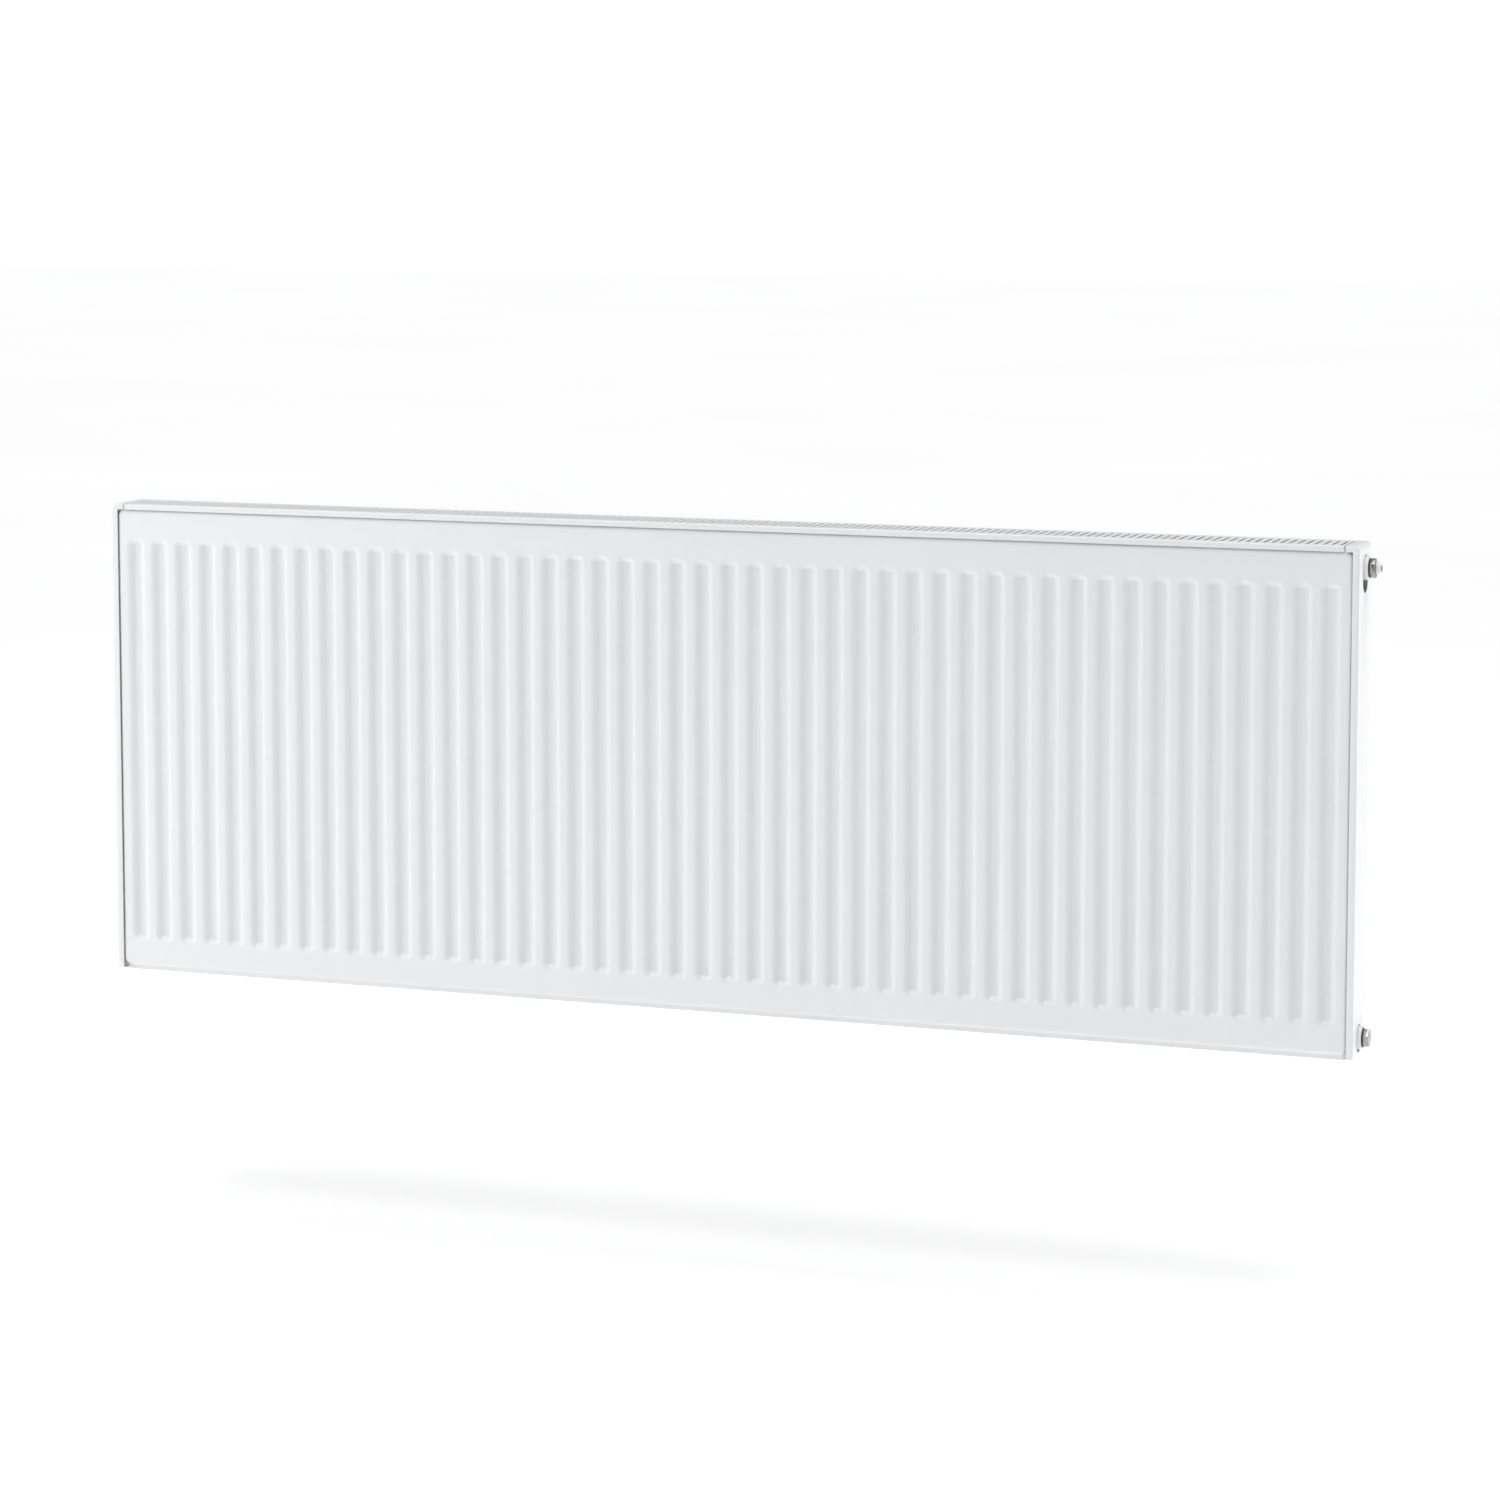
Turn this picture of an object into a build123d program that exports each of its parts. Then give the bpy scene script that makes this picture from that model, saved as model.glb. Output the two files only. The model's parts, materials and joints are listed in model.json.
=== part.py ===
from build123d import *
import os
from math import hypot

# Double-panel steel radiator for a water heating system: two fluted panels, one convector sheet
# between them, a slotted top grille and two clip-on side covers. Millimetres.
# Frame: +X along the length towards the vented end, +Y towards the wall, +Z up. The origin is the
# middle of the four hanging lugs, on the plane where they rest against the wall brackets.

# ---- driving dimensions ------------------------------------------------------------------------
LENGTH = 1600.0          # over the side covers
HEIGHT = 600.0           # bottom of the panels to the top of the grille
DEPTH = 70.0             # front lips to rear lips
LUG_STANDOFF = 8.0       # rear lips to the wall brackets
TAPPING_SPACING = 550.0  # between the upper and the lower sockets
TAPPING_HEIGHT = 22.0    # lower sockets above the bottom edge

PANEL_SHEET = 1.2        # steel of the water panels
COVER_SHEET = 1.0        # steel of the grille and the side covers
CONVECTOR_SHEET = 0.6
LUG_SHEET = 2.0

FLUTES = 47
PITCH = LENGTH / (FLUTES + 1)
PRESS_DEPTH = 7.4        # weld plane to the raised face of a sheet, outside
FACE_SETBACK = 1.5       # lips stand this far in front of the raised face
FACE_EDGE_R = 5.5        # rounded edge of the raised face
FACE_CORNER_R = 9.0

RIM_END = 4.0            # weld rim's edge, in from the end of the radiator
RIM_TOP = 597.5          # and up from its bottom, where the rim is the lowest edge
RAISED_END = 7.5         # foot of the raised face, in from the end
RAISED_BOTTOM = 6.0
RAISED_TOP = 594.0

FLUTE_WIDTH = 25.0       # pressed valley at the raised face
FLUTE_BOTTOM = 38.0
FLUTE_TOP = 557.0
FLUTE_CORNER_R = 10.0
FLUTE_RUN = 8.1          # sideways run of a valley wall over its depth

FIT = 0.5                # gap between a pull-off cover and what it covers

# ---- places worked out from them ----------------------------------------------------------------
END_X = LENGTH / 2
BOTTOM_Z, TOP_Z = -HEIGHT / 2, HEIGHT / 2
FRONT_Y, REAR_Y = -LUG_STANDOFF - DEPTH, -LUG_STANDOFF

FRONT_FACE_Y = FRONT_Y + FACE_SETBACK
FRONT_WELD_Y = FRONT_FACE_Y + PRESS_DEPTH
FRONT_BACK_Y = FRONT_WELD_Y + PRESS_DEPTH
REAR_BACK_Y = REAR_Y - FACE_SETBACK
REAR_WELD_Y = REAR_BACK_Y - PRESS_DEPTH
REAR_FRONT_Y = REAR_WELD_Y - PRESS_DEPTH

AXIS_Y = (FRONT_Y + REAR_Y) / 2                  # the sockets' axes
LOWER_Z = BOTTOM_Z + TAPPING_HEIGHT
UPPER_Z = LOWER_Z + TAPPING_SPACING
TEE_X = END_X - PITCH                            # the tees' cross tubes
FLUTE_X = [(i - (FLUTES - 1) / 2) * PITCH for i in range(FLUTES)]
RIDGE_X = [(a + b) / 2 for a, b in zip(FLUTE_X, FLUTE_X[1:])]

# Corner sockets and plugs, along X from the end of the radiator.
SOCKET_OUT = 4.5         # socket's mouth beyond the side cover
SOCKET_R = 14.0
THREAD_R = 18.631 / 2    # minor radius of a G 1/2 internal thread
THREAD_LENGTH = 16.0
WATER_R = 8.0
CROSS_R = 11.0
PLUG_SHANK_R = 9.25
PLUG_SHANK_LENGTH = 12.0
PLUG_BORE_R = 7.0
SEAL_WIDTH = 1.8
SEAL_R = 11.3
HEX_FLATS = 20.0
HEX_LENGTH = 6.0
MOUTH_X = END_X + SOCKET_OUT
HEX_X = MOUTH_X + SEAL_WIDTH
HEX_END_X = HEX_X + HEX_LENGTH


def finish(builder, name):
    """Name a finished piece and write it out."""
    builder.part.label = name
    export_step(builder.part, f"parts/{name}.step")


def box(low, high, mode=Mode.ADD):
    """A block between two corners, inside the open part."""
    size = [b - a for a, b in zip(low, high)]
    middle = [(a + b) / 2 for a, b in zip(low, high)]
    with Locations(tuple(middle)):
        Box(*size, mode=mode)


def span(low, high):
    """Length and middle of a stretch."""
    return high - low, (low + high) / 2


def fold_shift(sheet, run, rise):
    """Sideways shift, at a fold, from one surface of a folded sheet to the other."""
    return sheet * (hypot(run, rise) - run) / rise


os.makedirs("parts", exist_ok=True)

# ---- pressed sheets of the two panels -----------------------------------------------------------
# One sheet is made facing the front, with its weld plane at Y = 0, and placed four times.
RIM_HEIGHT, RIM_Z = span(BOTTOM_Z, BOTTOM_Z + RIM_TOP)
RAISED_HEIGHT, RAISED_Z = span(BOTTOM_Z + RAISED_BOTTOM, BOTTOM_Z + RAISED_TOP)
RAISED_LENGTH = LENGTH - 2 * RAISED_END
VALLEY_HEIGHT, VALLEY_Z = span(BOTTOM_Z + FLUTE_BOTTOM, BOTTOM_Z + FLUTE_TOP)
VALLEY_DEPTH = PRESS_DEPTH - PANEL_SHEET
WALL_SLOPE = FLUTE_RUN / VALLEY_DEPTH
WALL_OFFSET = PANEL_SHEET * hypot(FLUTE_RUN, VALLEY_DEPTH) / VALLEY_DEPTH


def face_plane(y, z):
    """A plane facing the front, its own X along +X and its own Y up."""
    return Plane(origin=(0, y, z), x_dir=(1, 0, 0), z_dir=(0, -1, 0))


def valley(top, bottom, grow):
    """One valley as a solid, between two depths below the face, grown sideways all round."""
    with BuildPart() as solid:
        for depth in (top, bottom):
            with BuildSketch(face_plane(depth - PRESS_DEPTH, VALLEY_Z)):
                side = grow - depth * WALL_SLOPE
                RectangleRounded(FLUTE_WIDTH + 2 * side, VALLEY_HEIGHT + 2 * side, FLUTE_CORNER_R + side)
        loft(ruled=True)
    return solid.part


def raised_block(depth, inset):
    """The raised face as a solid block with rounded edges, drawn in by the inset all round."""
    with BuildPart() as block:
        with BuildSketch(face_plane(0, RAISED_Z)):
            RectangleRounded(RAISED_LENGTH - 2 * inset, RAISED_HEIGHT - 2 * inset, FACE_CORNER_R - inset)
        extrude(amount=depth)
        fillet(block.edges().group_by(Axis.Y)[0], FACE_EDGE_R - inset)
    return block.part


with BuildPart() as pressed_sheet:
    add(raised_block(PRESS_DEPTH, 0))
    with BuildSketch(face_plane(0, RIM_Z)):
        RectangleRounded(LENGTH - 2 * RIM_END, RIM_HEIGHT, FACE_CORNER_R)
    extrude(amount=PANEL_SHEET)
    # The water side is hollow behind the face.
    add(raised_block(VALLEY_DEPTH, PANEL_SHEET), mode=Mode.SUBTRACT)
    # Each valley is a trough of the same sheet whose floor reaches the weld plane.
    with Locations(*[(x, 0, 0) for x in FLUTE_X]):
        add(valley(PANEL_SHEET / 2, PRESS_DEPTH, WALL_OFFSET))
        add(valley(0, VALLEY_DEPTH, 0), mode=Mode.SUBTRACT)


wall_facing_sheet = mirror(pressed_sheet.part, about=Plane.XZ)


def panel_sheet(name, weld_y, faces_wall, ported):
    """Place one pressed sheet; a ported one has the tees' four water holes."""
    with BuildPart() as sheet:
        with Locations((0, weld_y, 0)):
            add(wall_facing_sheet if faces_wall else pressed_sheet.part)
        if ported:
            with Locations(*[(x, weld_y, z) for x in (-TEE_X, TEE_X) for z in (LOWER_Z, UPPER_Z)]):
                Cylinder(WATER_R, 4 * PRESS_DEPTH, rotation=(90, 0, 0), mode=Mode.SUBTRACT)
    finish(sheet, name)


panel_sheet("front_panel_face_sheet", FRONT_WELD_Y, faces_wall=False, ported=False)
panel_sheet("front_panel_back_sheet", FRONT_WELD_Y, faces_wall=True, ported=True)
panel_sheet("rear_panel_front_sheet", REAR_WELD_Y, faces_wall=False, ported=True)
panel_sheet("rear_panel_wall_sheet", REAR_WELD_Y, faces_wall=True, ported=False)

# ---- convector ----------------------------------------------------------------------------------
# One folded sheet whose narrow crests are spot-welded to the ridges at the front panel's back.
CONVECTOR_DEPTH = 22.0
CONVECTOR_BOTTOM = 60.0
CONVECTOR_TOP = 535.0
CREST = 8.0
FIN_RUN = 2.0            # sideways run of a fin over the convector's depth

crest_y = FRONT_BACK_Y
trough_y = FRONT_BACK_Y + CONVECTOR_DEPTH - CONVECTOR_SHEET
miter = fold_shift(CONVECTOR_SHEET, FIN_RUN, trough_y - crest_y)

near_side = [(RIDGE_X[0] - CREST / 2, crest_y)]
far_side = [(RIDGE_X[0] - CREST / 2, crest_y + CONVECTOR_SHEET)]
for left, right in zip(RIDGE_X, RIDGE_X[1:]):
    for x, y, shift in (
        (left + CREST / 2, crest_y, -miter),
        (left + CREST / 2 + FIN_RUN, trough_y, -miter),
        (right - CREST / 2 - FIN_RUN, trough_y, miter),
        (right - CREST / 2, crest_y, miter),
    ):
        near_side.append((x, y))
        far_side.append((x + shift, y + CONVECTOR_SHEET))
near_side.append((RIDGE_X[-1] + CREST / 2, crest_y))
far_side.append((RIDGE_X[-1] + CREST / 2, crest_y + CONVECTOR_SHEET))

with BuildPart() as convector:
    with BuildSketch(Plane.XY.offset(BOTTOM_Z + CONVECTOR_BOTTOM)):
        with BuildLine():
            Polyline(*near_side, *reversed(far_side), close=True)
        make_face()
    extrude(amount=CONVECTOR_TOP - CONVECTOR_BOTTOM)
finish(convector, "convector")

# ---- corner connectors --------------------------------------------------------------------------
# A tee between the panels at each corner: a cross tube along Y and a threaded socket along X.
SOCKET_LENGTH = MOUTH_X - TEE_X + CROSS_R
MOUTH_CHAMFER = 0.8


def corner_tee(name, side, z):
    outward = Plane(origin=(side * MOUTH_X, AXIS_Y, z), x_dir=(0, 1, 0), z_dir=(side, 0, 0))
    with BuildPart() as tee:
        with BuildSketch(outward):
            Circle(SOCKET_R)
        extrude(amount=-SOCKET_LENGTH)
        chamfer(tee.edges().filter_by(GeomType.CIRCLE), MOUTH_CHAMFER)
        gap, middle = span(FRONT_BACK_Y, REAR_FRONT_Y)
        with Locations((side * TEE_X, middle, z)):
            Cylinder(CROSS_R, gap, rotation=(90, 0, 0))
            Cylinder(WATER_R, gap, rotation=(90, 0, 0), mode=Mode.SUBTRACT)
        for radius, length in ((THREAD_R, THREAD_LENGTH), (WATER_R, MOUTH_X - TEE_X)):
            with BuildSketch(outward):
                Circle(radius)
            extrude(amount=-length, mode=Mode.SUBTRACT)
    finish(tee, name)


for end, side in (("left", -1), ("right", 1)):
    for level, z in (("lower", LOWER_Z), ("upper", UPPER_Z)):
        corner_tee(f"{level}_{end}_tee", side, z)

# ---- hanging lugs -------------------------------------------------------------------------------
# A strap bridges two ridges of the rear panel; the wall bracket's hook goes through its slot.
LUG_CHANNEL = 17         # the lugs bridge this valley, counted from the middle one
LUG_X = LUG_CHANNEL * PITCH
LUG_Z = 185.0
LUG_HEIGHT = 34.0
LUG_FOOT = 11.0
LUG_SLOT = (8.0, 20.0)
LUG_LEG_RUN = 3.0
LUG_R = 3.0

lug_inner = PITCH / 2 - LUG_FOOT / 2             # the feet sit over the middles of two ridges
lug_outer = PITCH / 2 + LUG_FOOT / 2
foot_y, web_y = REAR_BACK_Y, 0.0
lug_shift = fold_shift(LUG_SHEET, LUG_LEG_RUN, web_y - LUG_SHEET - foot_y)


def hanging_lug(name, x, z):
    with BuildPart() as lug:
        with BuildSketch(Plane.XY.offset(z - LUG_HEIGHT / 2)):
            with BuildLine():
                Polyline(
                    (x - lug_outer, foot_y), (x - lug_inner, foot_y),
                    (x - lug_inner + LUG_LEG_RUN, web_y - LUG_SHEET),
                    (x + lug_inner - LUG_LEG_RUN, web_y - LUG_SHEET),
                    (x + lug_inner, foot_y), (x + lug_outer, foot_y),
                    (x + lug_outer, foot_y + LUG_SHEET), (x + lug_inner + lug_shift, foot_y + LUG_SHEET),
                    (x + lug_inner - LUG_LEG_RUN + lug_shift, web_y),
                    (x - lug_inner + LUG_LEG_RUN - lug_shift, web_y),
                    (x - lug_inner - lug_shift, foot_y + LUG_SHEET), (x - lug_outer, foot_y + LUG_SHEET),
                    close=True,
                )
            make_face()
        extrude(amount=LUG_HEIGHT)
        fillet(lug.edges().filter_by(Axis.Y), LUG_R)
        with BuildSketch(Plane(origin=(x, web_y, z), x_dir=(0, 0, 1), z_dir=(0, 1, 0))):
            SlotOverall(LUG_SLOT[1], LUG_SLOT[0])
        extrude(amount=-LUG_SHEET, mode=Mode.SUBTRACT)
    finish(lug, name)


for end, x in (("left", -LUG_X), ("right", LUG_X)):
    for level, z in (("lower", -LUG_Z), ("upper", LUG_Z)):
        hanging_lug(f"{level}_{end}_lug", x, z)

# ---- side covers --------------------------------------------------------------------------------
LIP = 8.5                # front and rear lips, in from the end
COVER_RAISE = 1.5        # the covers stop this far above the panels' bottom edge
CORNER = 17.0            # top flange and the corner tabs of the lips
LIP_DROP = 7.0           # height of the grille's lips and of the corner tabs
BOTTOM_FLANGE = 12.0
TOP_R, BOTTOM_R, FOLD_R = 6.0, 3.5, 1.8
SLOT_R = 15.5            # slot round a socket
UPPER_SLOT_DROP = 29.0   # slot's lower end below the socket's axis
LOWER_SLOT_DROP = 18.0


def side_cover(name, side):
    inboard = END_X - CORNER
    bottom = BOTTOM_Z + COVER_RAISE
    with BuildPart() as cover:
        box((inboard, FRONT_Y, bottom), (END_X, REAR_Y, TOP_Z))
        fillet(cover.edges().filter_by(Axis.Y).group_by(Axis.X)[-1].sort_by(Axis.Z)[-1], TOP_R)
        fillet(cover.edges().filter_by(Axis.Y).group_by(Axis.X)[-1].sort_by(Axis.Z)[0], BOTTOM_R)
        folds = [edge for face in (cover.faces().sort_by(Axis.Y)[0], cover.faces().sort_by(Axis.Y)[-1])
                 for edge in face.edges() if edge.center().X > inboard + FIT]
        fillet(folds, FOLD_R)
        offset(amount=-COVER_SHEET, openings=cover.faces().sort_by(Axis.X)[0])
        # Below the corner tabs the lips are narrower, and the bottom flange is short.
        box((inboard, FRONT_Y, bottom + COVER_SHEET), (END_X - LIP, REAR_Y, TOP_Z - LIP_DROP),
            Mode.SUBTRACT)
        box((inboard, FRONT_Y, bottom), (END_X - BOTTOM_FLANGE, REAR_Y, bottom + COVER_SHEET),
            Mode.SUBTRACT)
        # The bottom flange is notched where the two rims stand in it.
        for weld_y in (FRONT_WELD_Y, REAR_WELD_Y):
            box((inboard, weld_y - PANEL_SHEET - FIT, bottom),
                (END_X - RIM_END + FIT, weld_y + PANEL_SHEET + FIT, bottom + COVER_SHEET), Mode.SUBTRACT)
        for z, drop in ((LOWER_Z, LOWER_SLOT_DROP), (UPPER_Z, UPPER_SLOT_DROP)):
            low, high = z - drop, z + SLOT_R
            with BuildSketch(Plane(origin=(END_X, AXIS_Y, (low + high) / 2), x_dir=(0, 0, 1),
                                   z_dir=(1, 0, 0))):
                SlotOverall(high - low, 2 * SLOT_R)
            extrude(amount=-2 * COVER_SHEET, mode=Mode.SUBTRACT)
        if side < 0:
            mirror(about=Plane.YZ, mode=Mode.REPLACE)
    finish(cover, name)


side_cover("left_side_cover", -1)
side_cover("right_side_cover", 1)

# ---- top grille ---------------------------------------------------------------------------------
SLOT_PITCH = 10.0
SLOT_WIDTH = 3.0
SLOT_LENGTH = 48.0
JOINT_GAP = 1.5          # between the grille's end and a side cover's top flange
GRILLE_END = END_X - CORNER - JOINT_GAP
slots_per_row = 2 * int((GRILLE_END - SLOT_WIDTH) / SLOT_PITCH + 0.5)


def grille_block(end, inset, bottom):
    """The grille's outline as a solid block with rounded upper edges."""
    with BuildPart() as block:
        box((-end, FRONT_Y + inset, bottom), (end, REAR_Y - inset, TOP_Z - inset))
        fillet(block.edges().filter_by(Axis.X).group_by(Axis.Z)[-1], FOLD_R - inset)
    return block.part


with BuildPart() as grille:
    add(grille_block(GRILLE_END, 0, TOP_Z - LIP_DROP))
    add(grille_block(END_X, COVER_SHEET, TOP_Z - 2 * LIP_DROP), mode=Mode.SUBTRACT)
    with BuildSketch(Plane.XY.offset(TOP_Z)):
        with Locations((0, AXIS_Y)):
            with GridLocations(SLOT_PITCH, 0, slots_per_row, 1):
                SlotOverall(SLOT_LENGTH, SLOT_WIDTH, rotation=90)
    extrude(amount=-2 * COVER_SHEET, mode=Mode.SUBTRACT)
finish(grille, "top_grille")

# ---- clips --------------------------------------------------------------------------------------
RIM_THICKNESS = 2 * PANEL_SHEET
GRILLE_CLIP_X = (-20 * PITCH, 0.0, 20 * PITCH)
GRILLE_CLIP_LENGTH = 24.0
GRILLE_CLIP_WIDTH = 12.0
GRILLE_CLIP_GRIP = 3.0   # how far the clip reaches down over the rim

with BuildPart() as grille_clips:
    rim_z = BOTTOM_Z + RIM_TOP
    for weld_y in (FRONT_WELD_Y, REAR_WELD_Y):
        for x in GRILLE_CLIP_X:
            half, reach = GRILLE_CLIP_LENGTH / 2, GRILLE_CLIP_WIDTH / 2
            box((x - half, weld_y - reach, rim_z - GRILLE_CLIP_GRIP),
                (x + half, weld_y + reach, TOP_Z - COVER_SHEET - FIT))
            box((x - half, weld_y - PANEL_SHEET, rim_z - GRILLE_CLIP_GRIP),
                (x + half, weld_y + PANEL_SHEET, rim_z), Mode.SUBTRACT)
finish(grille_clips, "grille_clips")

SIDE_CLIP_Z = (-210.0, 210.0)
SIDE_CLIP_HEIGHT = 18.0
SIDE_CLIP_WALL = 1.5
SIDE_CLIP_GRIP = 3.0


def side_clips(name, side):
    """Clips on the end rims; each has an arm that reaches out behind the cover's lip."""
    edge_x = END_X - RIM_END
    with BuildPart() as clips:
        for weld_y, lip_y in ((FRONT_WELD_Y, FRONT_Y + COVER_SHEET + FIT),
                              (REAR_WELD_Y, REAR_Y - COVER_SHEET - FIT)):
            outward = 1 if lip_y > weld_y else -1
            inner_y = weld_y - outward * (RIM_THICKNESS / 2 + SIDE_CLIP_WALL)
            for z in SIDE_CLIP_Z:
                low_y, high_y = sorted((inner_y, lip_y))
                box((edge_x - SIDE_CLIP_GRIP, low_y, z - SIDE_CLIP_HEIGHT / 2),
                    (edge_x + SIDE_CLIP_WALL, high_y, z + SIDE_CLIP_HEIGHT / 2))
                box((edge_x - SIDE_CLIP_GRIP, weld_y - PANEL_SHEET, z - SIDE_CLIP_HEIGHT / 2),
                    (edge_x, weld_y + PANEL_SHEET, z + SIDE_CLIP_HEIGHT / 2), Mode.SUBTRACT)
                # The arm is a thin leaf, so the space behind it is open.
                arm_y = weld_y + outward * (RIM_THICKNESS / 2 + SIDE_CLIP_WALL)
                low_y, high_y = sorted((arm_y, lip_y - outward * SIDE_CLIP_WALL))
                box((edge_x - SIDE_CLIP_GRIP, low_y, z - SIDE_CLIP_HEIGHT / 2),
                    (edge_x, high_y, z + SIDE_CLIP_HEIGHT / 2), Mode.SUBTRACT)
        if side < 0:
            mirror(about=Plane.YZ, mode=Mode.REPLACE)
    finish(clips, name)


side_clips("left_cover_clips", -1)
side_clips("right_cover_clips", 1)

# ---- plugs, seals and the air vent --------------------------------------------------------------
SEAL_ROUND = 0.8
HEX_CORNER_R = 11.7      # past the hexagon's corners
HEX_FACE_R = 10.5        # round end faces of the hexagon, inside its chamfers
HEX_CHAMFER = 0.5
BLANKING_HEX_TURN = 42.0
VENT_HEX_TURN = 30.0
RUN_FIT = 0.05           # radial clearance of turning pieces
END_FIT = 0.3            # clearance of turning pieces along the axis

VENT_WATER_R = 2.0
SCREW_R = 3.0
SEAT_X = END_X - 2.0     # conical seat of the bleed screw
NECK_R = 5.0
NECK_LENGTH = 3.0
NOZZLE_R = 7.5
NOZZLE_TIP_R = 5.6
NOZZLE_MOUTH_R = 4.1
NOZZLE_COLLAR_LENGTH = 3.8
NOZZLE_CHAMFER = 0.4
NOZZLE_END_X = END_X + 18.4
OUTLET_R = 1.0
SQUARE = 5.0
SQUARE_CORNER_R = 0.3
SQUARE_X = HEX_END_X + NECK_LENGTH + 0.1         # the square stands clear of the neck's bore
SCREW_END_X = END_X + 19.0
SCREW_GROOVE_X = (HEX_END_X - 1.4, HEX_END_X + 0.4)
SCREW_GROOVE_R = 2.1


def turned(points, z, mode=Mode.ADD):
    """A body of revolution about the socket axis at height z, from (x, radius) points."""
    with BuildSketch(Plane.XY.offset(z)) as profile:
        with BuildLine():
            Polyline(*[(x, AXIS_Y + r) for x, r in points], close=True)
        make_face()
    revolve(profile.sketch, axis=Axis((0, AXIS_Y, z), (1, 0, 0)), mode=mode)


def tube_points(low, high, inner, outer):
    return [(low, inner), (high, inner), (high, outer), (low, outer)]


def across(x, z):
    """A plane square to the socket axis, facing outwards."""
    return Plane(origin=(x, AXIS_Y, z), x_dir=(0, 1, 0), z_dir=(1, 0, 0))


def hexagon(z, turn):
    """Chamfered hexagon of a plug, inside the open part."""
    with BuildSketch(across(HEX_X, z)) as outline:
        RegularPolygon(HEX_FLATS / 2, 6, major_radius=False, rotation=turn)
    extrude(outline.sketch, amount=HEX_LENGTH)
    turned([(HEX_X, 0), (HEX_X, HEX_FACE_R), (HEX_X + HEX_CHAMFER, HEX_CORNER_R),
            (HEX_END_X - HEX_CHAMFER, HEX_CORNER_R), (HEX_END_X, HEX_FACE_R), (HEX_END_X, 0)],
           z, Mode.INTERSECT)


def seal_ring(name, z):
    """Rubber ring squeezed between the socket's mouth and a plug's hexagon."""
    with BuildPart() as ring:
        turned(tube_points(MOUTH_X, HEX_X, PLUG_SHANK_R, SEAL_R), z)
        fillet(ring.edges().filter_by(GeomType.CIRCLE).group_by(SortBy.RADIUS)[-1], SEAL_ROUND)
    finish(ring, name)


shank_x = MOUTH_X - PLUG_SHANK_LENGTH

with BuildPart() as blanking_plug:
    hexagon(LOWER_Z, BLANKING_HEX_TURN)
    turned(tube_points(shank_x, HEX_X, 0, PLUG_SHANK_R), LOWER_Z)
    turned(tube_points(shank_x, MOUTH_X, 0, PLUG_BORE_R), LOWER_Z, Mode.SUBTRACT)
finish(blanking_plug, "blanking_plug")
seal_ring("blanking_plug_seal", LOWER_Z)

with BuildPart() as vent_plug:
    hexagon(UPPER_Z, VENT_HEX_TURN)
    turned(tube_points(shank_x, HEX_X, 0, PLUG_SHANK_R), UPPER_Z)
    turned(tube_points(HEX_END_X, HEX_END_X + NECK_LENGTH, 0, NECK_R), UPPER_Z)
    # Water passage, conical seat, and the bore that carries the bleed screw.
    screw_bore = SCREW_R + RUN_FIT
    turned([(shank_x, 0), (shank_x, VENT_WATER_R), (SEAT_X, VENT_WATER_R),
            (SEAT_X + screw_bore - VENT_WATER_R, screw_bore), (HEX_END_X + NECK_LENGTH, screw_bore),
            (HEX_END_X + NECK_LENGTH, 0)], UPPER_Z, Mode.SUBTRACT)
finish(vent_plug, "vent_plug")
seal_ring("vent_plug_seal", UPPER_Z)

with BuildPart() as bleed_screw:
    tip_x = SEAT_X + END_FIT
    shoulder_x = tip_x + SCREW_R - VENT_WATER_R
    groove_low, groove_high = SCREW_GROOVE_X
    turned([(tip_x, 0), (tip_x, VENT_WATER_R), (shoulder_x, SCREW_R), (groove_low, SCREW_R),
            (groove_low, SCREW_GROOVE_R), (groove_high, SCREW_GROOVE_R), (groove_high, SCREW_R),
            (SQUARE_X, SCREW_R), (SQUARE_X, 0)], UPPER_Z)
    with BuildSketch(across(SQUARE_X, UPPER_Z)):
        RectangleRounded(SQUARE, SQUARE, SQUARE_CORNER_R)
    extrude(amount=SCREW_END_X - SQUARE_X)
finish(bleed_screw, "bleed_screw")

with BuildPart() as bleed_screw_seal:
    turned(tube_points(groove_low + RUN_FIT, groove_high - RUN_FIT, SCREW_GROOVE_R + RUN_FIT, SCREW_R),
           UPPER_Z)
finish(bleed_screw_seal, "bleed_screw_seal")

with BuildPart() as vent_nozzle:
    low_x = HEX_END_X + END_FIT
    shelf_x = HEX_END_X + NECK_LENGTH + END_FIT
    collar_end = low_x + NOZZLE_COLLAR_LENGTH
    neck_bore = NECK_R + RUN_FIT
    turned([(low_x, neck_bore), (shelf_x, neck_bore), (shelf_x, NOZZLE_MOUTH_R),
            (NOZZLE_END_X, NOZZLE_MOUTH_R), (NOZZLE_END_X, NOZZLE_TIP_R - NOZZLE_CHAMFER),
            (NOZZLE_END_X - NOZZLE_CHAMFER, NOZZLE_TIP_R), (collar_end, NOZZLE_TIP_R),
            (collar_end, NOZZLE_R - NOZZLE_CHAMFER), (collar_end - NOZZLE_CHAMFER, NOZZLE_R),
            (low_x, NOZZLE_R)], UPPER_Z)
    # The outlet points straight down and turns with the nozzle.
    with Locations((shelf_x + OUTLET_R, AXIS_Y, UPPER_Z - NOZZLE_R / 2 - OUTLET_R)):
        Cylinder(OUTLET_R, NOZZLE_R, mode=Mode.SUBTRACT)
finish(vent_nozzle, "vent_nozzle")
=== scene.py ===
import json
import math

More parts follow.
